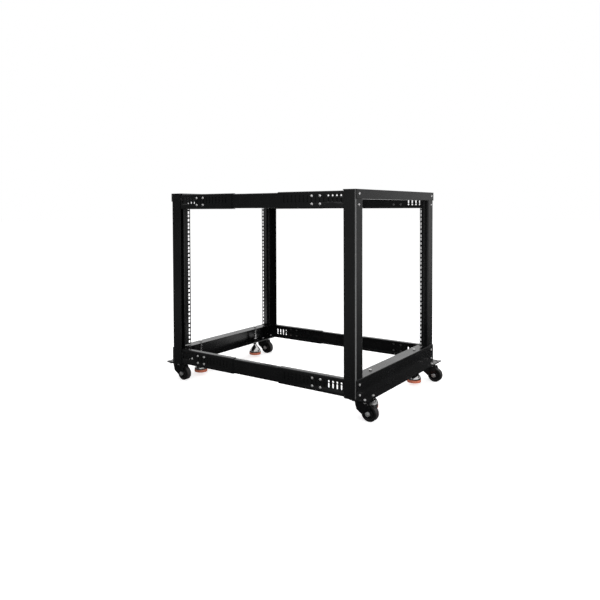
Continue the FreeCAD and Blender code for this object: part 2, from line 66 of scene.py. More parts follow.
# %% Place the camera
CAMERA_PLACE = Vector((-1.890, -1.247, 0.639))
CAMERA_AIM = Vector((0.80412502, 0.59384816, -0.02696867))
CAMERA_ROLL = math.radians(-0.270)

SENSOR_WIDTH = 36.0
LENS = 36.38
SHIFT = (0.048, -0.124)


def aim_turn(direction):
    """The turn that points an object's -Z along a direction, with Y up."""
    return direction.to_track_quat("-Z", "Y").to_matrix().to_4x4()


camera_data = bpy.data.cameras.new("camera")
camera_data.sensor_width = SENSOR_WIDTH
camera_data.lens = LENS
camera_data.shift_x, camera_data.shift_y = SHIFT
camera = bpy.data.objects.new("camera", camera_data)
camera.matrix_world = (Matrix.Translation(CAMERA_PLACE) @ aim_turn(CAMERA_AIM)
                       @ Matrix.Rotation(CAMERA_ROLL, 4, "Z"))
bpy.context.scene.collection.objects.link(camera)
bpy.context.scene.camera = camera
print("lens", LENS, "mm")

# %% [markdown]
# ## Building node trees
# Materials and Geometry Nodes are both node trees. One small class adds a node with its
# settings and its inputs, and another lets a number socket be used in ordinary arithmetic, so a
# formula reads as a formula.

# %% A node tree and its sockets
class Wire:
    """An output socket. Arithmetic on it adds Math nodes to its tree."""

    def __init__(self, tree, socket):
        self.tree = tree
        self.socket = socket

    def maths(self, operation, *values):
        return self.tree.node("ShaderNodeMath", {"operation": operation},
                              dict(enumerate(values)))

    def absolute(self):
        return self.maths("ABSOLUTE", self)

    def __add__(self, other):
        return self.maths("ADD", self, other)

    def __sub__(self, other):
        return self.maths("SUBTRACT", self, other)

    def __rsub__(self, other):
        return self.maths("SUBTRACT", other, self)

    def __mul__(self, other):
        return self.maths("MULTIPLY", self, other)

    def __truediv__(self, other):
        return self.maths("DIVIDE", self, other)

    def __pow__(self, other):
        return self.maths("POWER", self, other)

    def between(self, low, high):
        """0 below low, 1 above high, and smooth between them."""
        return self.tree.node("ShaderNodeMapRange", {"interpolation_type": "SMOOTHSTEP"},
                              {"Value": self, "From Min": low, "From Max": high})

    __radd__ = __add__
    __rmul__ = __mul__


class Tree:
    """A node tree, filled one node at a time."""

    def __init__(self, node_tree):
        self.node_tree = node_tree

    def node(self, kind, settings=None, inputs=None, output=0):
        """Add a node. An input is a value, a wire, or a list of wires for one socket."""
        made = self.node_tree.nodes.new(kind)
        for name, setting in (settings or {}).items():
            if name == "stops":
                self.set_stops(made.color_ramp, setting)
            else:
                setattr(made, name, setting)
        for name, value in (inputs or {}).items():
            socket = made.inputs[name]
            if isinstance(value, list):
                for part in value:
                    self.node_tree.links.new(part.socket, socket)
            elif isinstance(value, Wire):
                self.node_tree.links.new(value.socket, socket)
            else:
                socket.default_value = value
        self.last = made
        return Wire(self, made.outputs[output]) if made.outputs else None

    @staticmethod
    def set_stops(ramp, stops):
        while len(ramp.elements) < len(stops):
            ramp.elements.new(1.0)
        for element, (place, colour) in zip(ramp.elements, stops):
            element.position = place
            element.color = colour

    def mix(self, factor, a, b):
        """A colour between a and b."""
        return self.node("ShaderNodeMix", {"data_type": "RGBA"},
                         {"Factor": factor, 6: a, 7: b}, output=2)


def grey(level, tint=(1.0, 1.0, 1.0)):
    return tuple(level * part for part in tint) + (1.0,)


print("tree tools ready")

# %% [markdown]
# ## Studio
# The rack stands on a pale floor in a white room. The floor and the world show the camera, and
# anything glossy, plain white, while the light that falls on the rack comes from two soft
# panels and an even dome. Light Path nodes tell the two kinds of ray apart, so the background
# stays white however dim the lamps are.

# %% White room
DOME_LIGHT = 0.50
FLOOR_GLOW = 0.65
FLOOR_PAINT = 0.86
FLOOR_REACH = 30.0


def seen_directly(tree):
    """1 for rays from the camera, a glossy surface or glass, 0 for the light that falls."""
    seen = tree.node("ShaderNodeLightPath")
    sockets = tree.last.outputs
    for name in ("Is Glossy Ray", "Is Transmission Ray"):
        seen = seen.maths("MAXIMUM", seen, Wire(tree, sockets[name]))
    return seen


def start_material(name):
    material = bpy.data.materials.new(name)
    material.use_nodes = True
    material.node_tree.nodes.clear()
    tree = Tree(material.node_tree)
    tree.material = material
    return tree


def make_world():
    world = bpy.data.worlds.new("white room")
    world.use_nodes = True
    world.node_tree.nodes.clear()
    tree = Tree(world.node_tree)
    dome = tree.node("ShaderNodeBackground", None, {"Color": grey(1.0), "Strength": DOME_LIGHT})
    seen = seen_directly(tree)
    white = tree.node("ShaderNodeBackground", None, {"Color": grey(1.0), "Strength": 1.0})
    both = tree.node("ShaderNodeMixShader", None, {0: seen, 1: dome, 2: white})
    tree.node("ShaderNodeOutputWorld", None, {"Surface": both})
    bpy.context.scene.world = world


def stage_sheet(name, corners, tree):
    """A flat four cornered sheet of the studio, which isn't part of the rack."""
    mesh = bpy.data.meshes.new(name)
    mesh.from_pydata(corners, [], [(0, 1, 2, 3)])
    mesh.materials.append(tree.material)
    sheet = bpy.data.objects.new(name, mesh)
    bpy.context.scene.collection.objects.link(sheet)
    return sheet


def make_floor():
    tree = start_material("pale floor")
    paint = tree.node("ShaderNodeBsdfDiffuse", None, {"Color": grey(FLOOR_PAINT)})
    glow = tree.node("ShaderNodeEmission", None,
                     {"Color": grey(1.0), "Strength": seen_directly(tree) * FLOOR_GLOW})
    both = tree.node("ShaderNodeAddShader", None, {0: paint, 1: glow})
    tree.node("ShaderNodeOutputMaterial", None, {"Surface": both})
    reach = FLOOR_REACH
    stage_sheet("floor", [(-reach, -reach, 0), (reach, -reach, 0), (reach, reach, 0),
                          (-reach, reach, 0)], tree)


bpy.context.scene.view_settings.view_transform = "Standard"
make_world()
make_floor()
print("white room ready")

# %% [markdown]
# ### Dark boards
# The steel is nearly black, so its shape is drawn by what its coat reflects, as a black car is
# in a studio. A coat that mirrored only a white room would look flat and grey. So dark boards,
# called flags, stand on the left and before the front, and lie on the floor around the rack.
# Only glossy surfaces see them: the room stays white, and they cast no shadow.

# %% Boards that the coat mirrors
def upright(start, end, bottom, top):
    """The corners of an upright board over a line on the ground."""
    return [start + (bottom,), end + (bottom,), end + (top,), start + (top,)]


def flat(height, *points):
    """The corners of a board that lies at a height."""
    return [point + (height,) for point in points]


def make_flag(name, corners, axis, start, end, low, high):
    """A board whose level goes from low at start to high at end, in metres along its axis."""
    tree = start_material(name)
    place = tree.node("ShaderNodeTexCoord", None, None, output="Object")
    along = tree.node("ShaderNodeSeparateXYZ", None, {"Vector": place}, output=axis)
    level = tree.node("ShaderNodeMapRange", None,
                      {"Value": along, "From Min": start, "From Max": end,
                       "To Min": low, "To Max": high})
    cloth = tree.node("ShaderNodeEmission", None, {"Color": grey(1.0), "Strength": level})
    tree.node("ShaderNodeOutputMaterial", None, {"Surface": cloth})
    board = stage_sheet(name, corners, tree)
    board.visible_camera = False
    board.visible_diffuse = False
    board.visible_transmission = False
    board.visible_shadow = False


LEFT_LINE = ((-3.4, -0.9), (-1.2, 3.6))
FRONT_LINE = ((1.0, -4.2), (5.6, -0.9))
make_flag("left flag", upright(*LEFT_LINE, 0.0, 3.0),
          "Y", start=0.5, end=1.3, low=0.55, high=0.15)
make_flag("left floor flag", flat(0.002, (-3.4, -0.9), (0.32, -0.9), (0.32, 3.2), (-1.4, 3.2)),
          "X", start=-1.9, end=-0.34, low=0.36, high=0.05)
make_flag("front flag", upright(*FRONT_LINE, 0.0, 1.0),
          "Z", start=0.0, end=1.0, low=0.42, high=0.64)
make_flag("upper front flag", upright(*FRONT_LINE, 1.0, 2.4),
          "Z", start=1.0, end=1.3, low=0.50, high=0.12)
make_flag("near floor flag",
          flat(0.003, (-0.34, -0.425), (-0.34, -0.70), (5.4, -0.70), (5.4, -0.425)),
          "Y", start=-0.47, end=-0.70, low=0.0, high=0.11)
make_flag("far floor flag",
          flat(0.003, (-0.34, -0.70), (-0.34, -3.2), (1.0, -4.2), (5.4, -0.70)),
          "Y", start=-0.70, end=-2.0, low=0.11, high=0.40)
print("boards ready")

# %% [markdown]
# ### Lamps
# A large soft panel lights the front from the left, and another hangs over the rack. Wide lamps
# give soft shadows under the casters. Their shape isn't mirrored in the coat, where a bright
# rectangle on a side rail would be mistaken for paint.

# %% Soft panels
RACK_MIDDLE = (0.0, 0.0, 0.35)


def make_panel(name, place, width, height, radiance):
    """A rectangular lamp that faces the rack and whose surface is as bright as radiance."""
    light = bpy.data.lights.new(name, "AREA")
    light.shape = "RECTANGLE"
    light.size = width
    light.size_y = height
    light.energy = radiance * math.pi * width * height
    panel = bpy.data.objects.new(name, light)
    direction = Vector(RACK_MIDDLE) - Vector(place)
    panel.matrix_world = Matrix.Translation(Vector(place)) @ aim_turn(direction)
    panel.visible_glossy = False
    bpy.context.scene.collection.objects.link(panel)


make_panel("key panel", (-1.5, -3.2, 1.3), width=3.4, height=2.2, radiance=3.6)
make_panel("top panel", (0.0, 0.3, 3.2), width=2.5, height=2.5, radiance=1.6)
print("lamps ready")

# %% [markdown]
# ## Finishes
# Each finish is procedural and reads Object coordinates, so its grain has a real size in metres
# and stays on its piece when a caster turns. What changes over the surface feeds only the
# colour, the roughness or a bump.

# %% A finish and its shared grain
def start_finish(name):
    tree = start_material(name)
    tree.place = tree.node("ShaderNodeTexCoord", None, None, output="Object")
    return tree


def grain(tree, size, detail, rough, stretch=None):
    """Noise from 0 to 1 whose lumps are about size metres across."""
    place = tree.place
    if stretch:
        place = tree.node("ShaderNodeMapping", None, {"Vector": place, "Scale": stretch})
    return tree.node("ShaderNodeTexNoise", None, {"Vector": place, "Scale": 1.0 / size,
                                                  "Detail": detail, "Roughness": rough})


def bump(tree, height, depth):
    """A bump whose full height is depth metres."""
    return tree.node("ShaderNodeBump", None, {"Height": height, "Distance": depth,
                                              "Strength": 1.0})


def end_finish(tree, plain, varied):
    """The surface: plain values sit on its sockets and varied ones are linked to it."""
    surface = tree.node("ShaderNodeBsdfPrincipled", None, {**plain, **varied})
    tree.node("ShaderNodeOutputMaterial", None, {"Surface": surface})
    return tree.material


print("finish tools ready")

# %% [markdown]
# ### Powder coat
# The folded steel is sprayed with black powder and baked. The cured coat is semi-gloss with a
# fine orange peel about a millimetre across. It could be one flat colour, but handling leaves
# faint dull patches, so a broad noise moves the roughness a little. The posts' outer folds
# carry
# a painted highlight: a lighter grey and a lower roughness along them stand in for the light
# that the bends catch. A distance from the fold's line, worked out from Object coordinates,
# says where.

# %% Black powder coat
COAT_LEVEL = 0.003
COAT_ROUGHNESS = 0.20
# The grey of the painted highlight on the posts' outer folds.
FOLD_HIGHLIGHT_LEVEL = 0.12
PEEL_SIZE = 0.0011
PATCH_SIZE = 0.09
SPECK_SIZE = 0.004
POST_CORNER = (0.300, 0.384)
# How far the painted fold highlight reaches from the fold's line, in metres.
FOLD_HIGHLIGHT_REACH = (0.0022, 0.0042)


def painted_fold_highlight(tree):
    """1 on the outer folds of the posts, where a highlight is painted."""
    x = tree.node("ShaderNodeSeparateXYZ", None, {"Vector": tree.place}, output="X")
    y = Wire(tree, tree.last.outputs["Y"])
    away_x = POST_CORNER[0] - x.absolute()
    away_y = POST_CORNER[1] - y.absolute()
    away = (away_x * away_x + away_y * away_y) ** 0.5
    return 1.0 - away.between(*FOLD_HIGHLIGHT_REACH)


def powder_coat(name, peel, folds=False):
    """The black coat, with an orange peel that is peel metres high."""
    tree = start_finish(name)
    fine = grain(tree, PEEL_SIZE, 3.0, 0.55)
    broad = grain(tree, PATCH_SIZE, 3.0, 0.6)
    speck = grain(tree, SPECK_SIZE, 2.0, 0.6)
    tone = (broad * 0.6 + speck * 0.4).between(0.3, 0.7)
    colour = tree.mix(tone, grey(COAT_LEVEL * 0.8, (0.92, 1.0, 1.12)),
                      grey(COAT_LEVEL * 1.25, (0.95, 1.0, 1.08)))
    roughness = broad.between(0.3, 0.75) * 0.07 + speck * 0.04 + COAT_ROUGHNESS
    if folds:
        # Painted highlight: the posts' outer folds get a lighter grey and a lower roughness.
        painted_highlight = painted_fold_highlight(tree) * (speck * 0.5 + 0.6)
        colour = tree.mix(painted_highlight, colour, grey(FOLD_HIGHLIGHT_LEVEL))
        roughness = roughness - painted_highlight * 0.06
    return end_finish(tree, {"Specular IOR Level": 0.36},
                      {"Base Color": colour, "Roughness": roughness,
                       "Normal": bump(tree, fine, peel)})


steel_black = powder_coat("black powder coat", peel=0.000016)
# The posts' coat carries a painted highlight along its outer folds.
post_black = powder_coat("black powder coat with painted fold highlights", peel=0.000016, folds=True)
caster_black = powder_coat("caster black coat", peel=0.000012)
print("powder coats ready")

# %% [markdown]
# ### Plated steel
# Screws, nuts and the brake lever are zinc plated: bright, slightly cloudy and scuffed. The
# bells and studs of the feet are chromed and polished. All of them are one metal recipe with
# another level and roughness: clouds in the plate, and fine scuffs that also stand in the bump.

# %% Zinc and chrome
CLOUD_SIZE = 0.006
SCUFF_SIZE = 0.0016
SCUFF_DEPTH = 0.00002


def plated(name, level, roughness, cloud, scuff):
    """A plate whose clouds and scuffs add to its roughness."""
    tree = start_finish(name)
    clouds = grain(tree, CLOUD_SIZE, 3.0, 0.6).between(0.25, 0.75)
    scratches = grain(tree, SCUFF_SIZE, 4.0, 0.7, stretch=(1.0, 1.0, 0.2))
    colour = tree.mix(clouds, grey(level, (1.0, 1.0, 1.01)),
                      grey(level * 0.86, (1.0, 0.99, 0.97)))
    return end_finish(tree, {"Metallic": 1.0},
                      {"Base Color": colour,
                       "Roughness": clouds * cloud + scratches * scuff + roughness,
                       "Normal": bump(tree, scratches, SCUFF_DEPTH)})


zinc = plated("zinc plate", level=0.86, roughness=0.36, cloud=0.10, scuff=0.10)
lever_zinc = plated("lever zinc plate", level=0.55, roughness=0.22, cloud=0.12, scuff=0.12)
dull_zinc = plated("dull zinc plate", level=0.22, roughness=0.34, cloud=0.10, scuff=0.10)
chrome = plated("polished chrome", level=0.66, roughness=0.06, cloud=0.04, scuff=0.03)
print("plated finishes ready")

# %% [markdown]
# ### Moulded parts
# The wheels are hard black nylon, smooth at the sides, with a lighter grey and rougher tread.
# The foot pads are a salmon orange plastic with a matt moulded skin. Paint could mark the
# tread, but a tread face is one that doesn't look along the axle, so its normal tells it.

# %% Wheel nylon and orange pads
SCUFFED_PATCH = 0.012
TREAD_TURN = (0.25, 0.6)


def moulded(name, dark, light, roughness, skin, skin_size, tread=None):
    """A moulded plastic. A tread is the colour of the faces that don't look along X."""
    tree = start_finish(name)
    patches = grain(tree, SCUFFED_PATCH, 3.0, 0.6).between(0.3, 0.7)
    pores = grain(tree, skin_size, 2.0, 0.5)
    colour = tree.mix(patches, dark, light)
    roughness = patches * 0.08 + pores * 0.06 + roughness
    if tread:
        # Faces that don't look along X, the tread, get a lighter grey and a higher roughness.
        facing = tree.node("ShaderNodeTexCoord", None, None, output="Normal")
        across = tree.node("ShaderNodeSeparateXYZ", None, {"Vector": facing}, output="X")
        tread_mask = 1.0 - across.absolute().between(*TREAD_TURN)
        colour = tree.mix(tread_mask * (patches * 0.4 + 0.6), colour, tread)
        roughness = roughness + tread_mask * 0.12
    return end_finish(tree, {"Specular IOR Level": 0.35},
                      {"Base Color": colour, "Roughness": roughness,
                       "Normal": bump(tree, pores, skin)})


wheel_nylon = moulded("black nylon", dark=grey(0.004), light=grey(0.008), roughness=0.30,
                      skin=0.00003, skin_size=0.0009, tread=(0.036, 0.032, 0.034, 1.0))
pad_orange = moulded("orange pad plastic", dark=(0.50, 0.14, 0.08, 1.0),
                     light=(0.64, 0.20, 0.12, 1.0), roughness=0.42,
                     skin=0.00004, skin_size=0.0012)
print("moulded finishes ready")

# %% [markdown]
# ### Finishes on the solids
# Each solid already names a material slot in the rack's record, so one table from slot to
# finish dresses them all. Only the posts, with a painted highlight on their folds, and the
# brake lever, whose plate is duller than a screw's, have a finish of their own.

# %% Dress the solids
FINISH = {
    "black_powder_coat": steel_black,
    "caster_steel": caster_black,
    "wheel_black": wheel_nylon,
    "chrome": chrome,
    "zinc": zinc,
    "orange_pad": pad_orange,
}


for entry in frame["record"]["subparts"]:
    name = entry["node"]
    finish = FINISH[entry["material_slot"]]
    if name.endswith("_post"):
        finish = post_black
    elif name == "brake_lever":
        finish = lever_zinc
    nodes[name].data.materials.clear()
    nodes[name].data.materials.append(finish)
print(len(nodes), "solids dressed")

# %% [markdown]
# ## Recipes
# The rack is held together by the same few fasteners, over and over. Placing copies by hand
# would work, but a Geometry Nodes tree states the fastener once, with named sizes, and puts one
# at every point of a small mesh. Each point carries the direction that its fastener faces. The
# result is turned into a plain mesh for each moving body.

# %% A recipe
FULL_TURN = 6.283


class Recipe(Tree):
    """A Geometry Nodes tree with one input for each size, in metres."""

    def __init__(self, name, sizes):
        group = bpy.data.node_groups.new(name, "GeometryNodeTree")
        super().__init__(group)
        group.interface.new_socket("Places", in_out="INPUT",
                                   socket_type="NodeSocketGeometry")
        self.keys = {}
        for label, value in sizes.items():
            socket = group.interface.new_socket(label, in_out="INPUT",
                                                socket_type="NodeSocketFloat")
            socket.default_value = value
            self.keys[label] = socket.identifier
        group.interface.new_socket("Geometry", in_out="OUTPUT",
                                   socket_type="NodeSocketGeometry")
        self.places = self.node("NodeGroupInput")
        sockets = self.last.outputs
        self.size = {label: Wire(self, sockets[label]) for label in sizes}

    def vector(self, x, y, z):
        return self.node("ShaderNodeCombineXYZ", None, {"X": x, "Y": y, "Z": z})

    def move(self, shape, place, turn=(0.0, 0.0, 0.0)):
        return self.node("GeometryNodeTransform", None,
                         {"Geometry": shape, "Translation": self.vector(*place),
                          "Rotation": turn})

    def lift(self, shape, height):
        return self.move(shape, (0.0, 0.0, height))

    def drum(self, sides, radius, depth):
        """A cylinder that stands on the ground plane."""
        shape = self.node("GeometryNodeMeshCylinder", None,
                          {"Vertices": sides, "Radius": radius, "Depth": depth})
        return self.lift(shape, depth * 0.5)

    def bore(self, sides, radius, depth):
        """A drum that reaches half a depth past both faces of a part that is depth thick."""
        return self.lift(self.drum(sides, radius, depth * 2.0), depth * -0.5)

    def block(self, x, y, z):
        return self.node("GeometryNodeMeshCube", None, {"Size": self.vector(x, y, z)})

    def join(self, *shapes):
        return self.node("GeometryNodeJoinGeometry", None, {"Geometry": list(shapes)})

    def cut(self, shape, *tools):
        return self.node("GeometryNodeMeshBoolean", {"operation": "DIFFERENCE",
                                                     "solver": "EXACT"},
                         {"Mesh 1": shape, "Mesh 2": list(tools)})

    def common(self, *shapes):
        return self.node("GeometryNodeMeshBoolean", {"operation": "INTERSECT",
                                                     "solver": "EXACT"},
                         {"Mesh 2": list(shapes)})

    def at_places(self, shape, seed):
        """One copy at each place, facing its axis and turned by a fixed random angle."""
        axis = self.node("GeometryNodeInputNamedAttribute", {"data_type": "FLOAT_VECTOR"},
                         {"Name": "axis"})
        facing = self.node("FunctionNodeAlignRotationToVector", {"axis": "Z"},
                           {"Vector": axis})
        copies = self.node("GeometryNodeInstanceOnPoints", None,
                           {"Points": self.places, "Instance": shape, "Rotation": facing})
        angle = self.node("FunctionNodeRandomValue", {"data_type": "FLOAT"},
                          {2: 0.0, 3: FULL_TURN, "Seed": seed}, output=1)
        return self.node("GeometryNodeRotateInstances", None,
                         {"Instances": copies, "Rotation": self.vector(0.0, 0.0, angle)})

    def finish(self, shape, finish):
        """End the tree: real meshes in place of instances, all with one finish."""
        whole = self.node("GeometryNodeRealizeInstances", None, {"Geometry": shape})
        dressed = self.node("GeometryNodeSetMaterial", None,
                            {"Geometry": whole, "Material": finish})
        self.node("NodeGroupOutput", None, {"Geometry": dressed})
        return self


print("recipe class ready")

# %% [markdown]
# ### Growing a recipe
# A recipe works on the points of a small host mesh. Its result could stay live as a modifier,
# but a plain mesh is what can ride on a moving body, so the evaluated mesh is copied and the
# host thrown away. Edges that bend gently are shaded smooth, and the others stay crisp.

# %% Places, shading and growth
SMOOTH_LIMIT = 32.0


def make_places(name, spots):
    """A mesh of bare points. Each spot is a point in millimetres and a direction."""
    mesh = bpy.data.meshes.new(name)
    mesh.from_pydata([[MM * part for part in point] for point, axis in spots], [], [])
    axes = mesh.attributes.new("axis", "FLOAT_VECTOR", "POINT")
    axes.data.foreach_set("vector", [float(part) for point, axis in spots for part in axis])
    return mesh


def soften(mesh):
    """Smooth shading across the edges that bend gently."""
    mesh.polygons.foreach_set("use_smooth", [True] * len(mesh.polygons))
    mesh.set_sharp_from_angle(angle=math.radians(SMOOTH_LIMIT))
    mesh.update()


def grow(name, recipe, mesh, body, sizes=None):
    """The plain mesh that a recipe makes from the places in mesh, riding on a body."""
    host = bpy.data.objects.new(name + "_host", mesh)
    bpy.context.scene.collection.objects.link(host)
    modifier = host.modifiers.new("recipe", "NODES")
    modifier.node_group = recipe.node_tree
    for label, value in (sizes or {}).items():
        modifier[recipe.keys[label]] = value
    graph = bpy.context.evaluated_depsgraph_get()
    made = bpy.data.meshes.new_from_object(host.evaluated_get(graph))
    bpy.data.objects.remove(host)
    made.name = name
    soften(made)
    piece = bpy.data.objects.new(name, made)
    bpy.context.scene.collection.objects.link(piece)
    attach(piece, body)
    return piece


print("growing tools ready")

# %% [markdown]
# ### Screws
# The beams and rails are held by zinc plated pan head screws with a cross recess, each over a
# flat washer. The head could be turned from an outline, but a ball cut by a drum gives the low
# dome with an upright rim from two sizes, and two thin blocks cut the cross into it.

# %% The screw recipe
def screw_recipe():
    recipe = Recipe("pan head screw", {"Head Radius": 0.0038, "Head Height": 0.0028,
                                       "Dome": 0.0017, "Washer Radius": 0.0042,
                                       "Washer Thickness": 0.0006, "Recess": 0.0010})
    size = recipe.size
    radius, height, dome = size["Head Radius"], size["Head Height"], size["Dome"]
    ball_radius = (radius * radius + dome * dome) / (dome * 2.0)
    ball = recipe.node("GeometryNodeMeshUVSphere", None,
                       {"Segments": 24, "Rings": 16, "Radius": ball_radius})
    ball = recipe.lift(ball, height - ball_radius)
    head = recipe.common(ball, recipe.drum(24, radius, height * 2.0))
    width, length, depth = size["Recess"], radius * 1.15, size["Recess"] * 3.0
    head = recipe.cut(head, recipe.lift(recipe.block(length, width, depth), height),
                      recipe.lift(recipe.block(width, length, depth), height))
    head = recipe.lift(head, size["Washer Thickness"])
    washer = recipe.drum(24, size["Washer Radius"], size["Washer Thickness"])
    return recipe.finish(recipe.at_places(recipe.join(head, washer), seed=11), zinc)


pan_screw = screw_recipe()
print("screw recipe ready")

# %% [markdown]
# ### Nuts
# A nut is a six sided bar whose corners are turned off to a cone, with a bored hole. The screw
# ends a few threads past it. A thread could be only a bump in the finish, but it would look
# smooth from the side, so it is a spiral with a three sided profile, which costs little.

# %% The nut recipe
CORNER_OF_FLATS = 0.57735
CHAMFER_SLOPE = 0.577


def spiral_ridge(recipe, radius, length, turns, tooth, steps, foot=0.0):
    """A three sided ridge that winds up around the axis, starting foot above the ground."""
    spiral = recipe.node("GeometryNodeCurveSpiral", None,
                         {"Resolution": steps, "Rotations": turns, "Start Radius": radius,
                          "End Radius": radius, "Height": length})
    tip = recipe.node("GeometryNodeCurvePrimitiveCircle", None,
                      {"Resolution": 3, "Radius": tooth})
    return recipe.node("GeometryNodeCurveToMesh", None,
                       {"Curve": recipe.lift(spiral, foot), "Profile Curve": tip,
                        "Fill Caps": True})


def threaded_end(recipe, radius, length, pitch):
    """A plain core with a spiral ridge around it."""
    ridge = spiral_ridge(recipe, radius - pitch * 0.25, length - pitch * 0.6,
                         turns=length / pitch - 0.6, tooth=pitch * 0.36, steps=16,
                         foot=pitch * 0.3)
    return recipe.join(recipe.drum(16, radius - pitch * 0.2, length), ridge)


def chamfered_nut(recipe, flats, height, bore):
    """A hexagonal bar whose upper corners are turned off by a cone, with a hole through it."""
    bar = recipe.drum(6, flats * CORNER_OF_FLATS, height)
    depth = height * 1.4
    top = flats * 0.48
    cone = recipe.node("GeometryNodeMeshCone", None,
                       {"Vertices": 24, "Radius Top": top,
                        "Radius Bottom": top + depth / CHAMFER_SLOPE, "Depth": depth})
    cone = recipe.lift(cone, height * -0.4)
    return recipe.cut(recipe.common(bar, cone), recipe.bore(16, bore, height))


def nut_recipe():
    recipe = Recipe("nut and screw end", {"Across Flats": 0.0090, "Nut Height": 0.0044,
                                          "Screw Radius": 0.0025, "Screw End": 0.0070,
                                          "Pitch": 0.0008})
    size = recipe.size
    nut = chamfered_nut(recipe, size["Across Flats"], size["Nut Height"],
                        size["Screw Radius"])
    end = threaded_end(recipe, size["Screw Radius"], size["Screw End"], size["Pitch"])
    return recipe.finish(recipe.at_places(recipe.join(nut, end), seed=5), zinc)


nut_and_end = nut_recipe()
print("nut recipe ready")

# %% [markdown]
# ### Press nuts
# Behind the sheet there is no loose nut: a press nut is squeezed into each hole, and leaves a
# low round collar with the end of the screw in it. Both are a dull zinc, so that they stay
# quiet on the inside of the frame.

# %% The press nut recipe
def press_nut_recipe():
    recipe = Recipe("press nut", {"Collar Radius": 0.0042, "Collar Height": 0.0011,
                                  "Screw Radius": 0.0022, "Screw End": 0.0024,
                                  "Pitch": 0.0007})
    size = recipe.size
    collar = recipe.drum(20, size["Collar Radius"], size["Collar Height"])
    collar = recipe.cut(collar, recipe.bore(16, size["Screw Radius"], size["Collar Height"]))
    end = threaded_end(recipe, size["Screw Radius"], size["Screw End"], size["Pitch"])
    return recipe.finish(recipe.at_places(recipe.join(collar, end), seed=7), dull_zinc)


press_nut = press_nut_recipe()
print("press nut recipe ready")

# %% [markdown]
# ### Where the fasteners go
# The rack is the same left and right and front and rear, so each list of places is worked out
# once and reflected. Every place lies on a face of a solid, and the faces are read from the
# boxes of the solids.

# %% Faces that carry fasteners
SHEET = 2.0


def face(node, axis):
    """How far a solid's low side lies from the middle along an axis, in millimetres."""
    return abs(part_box(node)[0]["xyz".index(axis)]) / MM


BEAM_FACE = face("front_top_beam", "y")
POST_FACE = BEAM_FACE - SHEET
TAB_FACE = BEAM_FACE - 3 * SHEET
RAIL_FACE = face("left_bottom_rail_front", "x")
RAIL_INSIDE = RAIL_FACE - 2 * SHEET
SIDES = [(x, y) for x in (-1, 1) for y in (-1, 1)]
print("beam face at", round(BEAM_FACE, 1), "mm, rail face at", round(RAIL_FACE, 1), "mm")

# %% [markdown]
# ### Screws of the frame
# Each end of a base beam has two screws, one above the other. Each end of a top beam has one,
# and another goes through the post just under it. Each end of a rail has four in a square, and
# a single one comes after them at the rear of the bottom rails. A screw and its press nut face
# each other through the sheets between them.

# %% Places of the frame's screws and nuts
BEAM_SCREW_X = 281.0
BEAM_SCREWS = ((79.0, BEAM_FACE), (110.5, BEAM_FACE), (651.5, POST_FACE), (684.5, BEAM_FACE))
RAIL_HEIGHTS = (85.0, 110.0, 655.0, 680.0)
RAIL_COLUMNS = {-1: (-258.0, -228.0), 1: (260.5, 230.5)}
SINGLE_SCREW = (289.0, 96.4)

beam_screws = []
beam_nuts = []
for x, y in SIDES:
    for height, plane in BEAM_SCREWS:
        beam_screws.append(((x * BEAM_SCREW_X, y * plane, height), (0, y, 0)))
        beam_nuts.append(((x * BEAM_SCREW_X, y * TAB_FACE, height), (0, -y, 0)))

rail_screws = []
rail_nuts = []
for x, y in SIDES:
    for height in RAIL_HEIGHTS:
        for along in RAIL_COLUMNS[y]:
            rail_screws.append(((x * RAIL_FACE, along, height), (x, 0, 0)))
            rail_nuts.append(((x * RAIL_INSIDE, along, height), (-x, 0, 0)))
for x in (-1, 1):
    rail_screws.append(((x * RAIL_FACE,) + SINGLE_SCREW, (x, 0, 0)))
    rail_nuts.append(((x * (RAIL_FACE - SHEET),) + SINGLE_SCREW, (-x, 0, 0)))
print(len(beam_screws), "beam screws and", len(rail_screws), "rail screws")

# %% Grow the screws and nuts of the frame
grow("frame_screws", pan_screw, make_places("frame_screw_places", beam_screws + rail_screws),
     "frame")
grow("frame_press_nuts", press_nut, make_places("frame_nut_places", beam_nuts + rail_nuts),
     "frame")
print(len(beam_nuts) + len(rail_nuts), "press nuts")

# %% [markdown]
# ### Caster fasteners
# Each caster plate is bolted under the end of a base beam by four screws whose nuts show below,
# and one of the four also goes through the flange of a side rail. The wheel turns on a screw
# that is clamped between the fork's legs by a larger nut at each end, so those nuts ride on the
# fork and turn with it. They reuse the nut recipe with larger sizes.

# %% Grow the caster fasteners
BASE_PLATE = 3.0
CASTER_PLATE = 2.5
KINGPIN = (260.0, 387.5)
PLATE_ACROSS = (-26.0, 29.0)
PLATE_ALONG = (-19.0, 19.5)
BEAM_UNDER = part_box("front_base_beam")[0][2] / MM
FLANGE_TOP = BEAM_UNDER + BASE_PLATE
PLATE_UNDER = BEAM_UNDER - CASTER_PLATE

plate_screws = []
plate_nuts = []
for x, y in SIDES:
    for across in PLATE_ACROSS:
        for along in PLATE_ALONG:
            on_rail = across > 0 and along < 0
            top = FLANGE_TOP + (SHEET if on_rail else 0.0)
            point = (x * (KINGPIN[0] + across), y * (KINGPIN[1] + along))
            plate_screws.append((point + (top,), (0, 0, 1)))
            plate_nuts.append((point + (PLATE_UNDER,), (0, 0, -1)))

grow("caster_plate_screws", pan_screw, make_places("plate_screw_places", plate_screws),
     "frame", {"Head Radius": 0.0042, "Washer Radius": 0.0048})
grow("caster_plate_nuts", nut_and_end, make_places("plate_nut_places", plate_nuts),
     "frame", {"Across Flats": 0.0080, "Nut Height": 0.0034, "Screw End": 0.0046})
print(len(plate_screws), "caster plate screws")

# %% Grow the axle nuts
CORNERS = ("front_left", "front_right", "rear_left", "rear_right")
LEG_FACE = 14.5


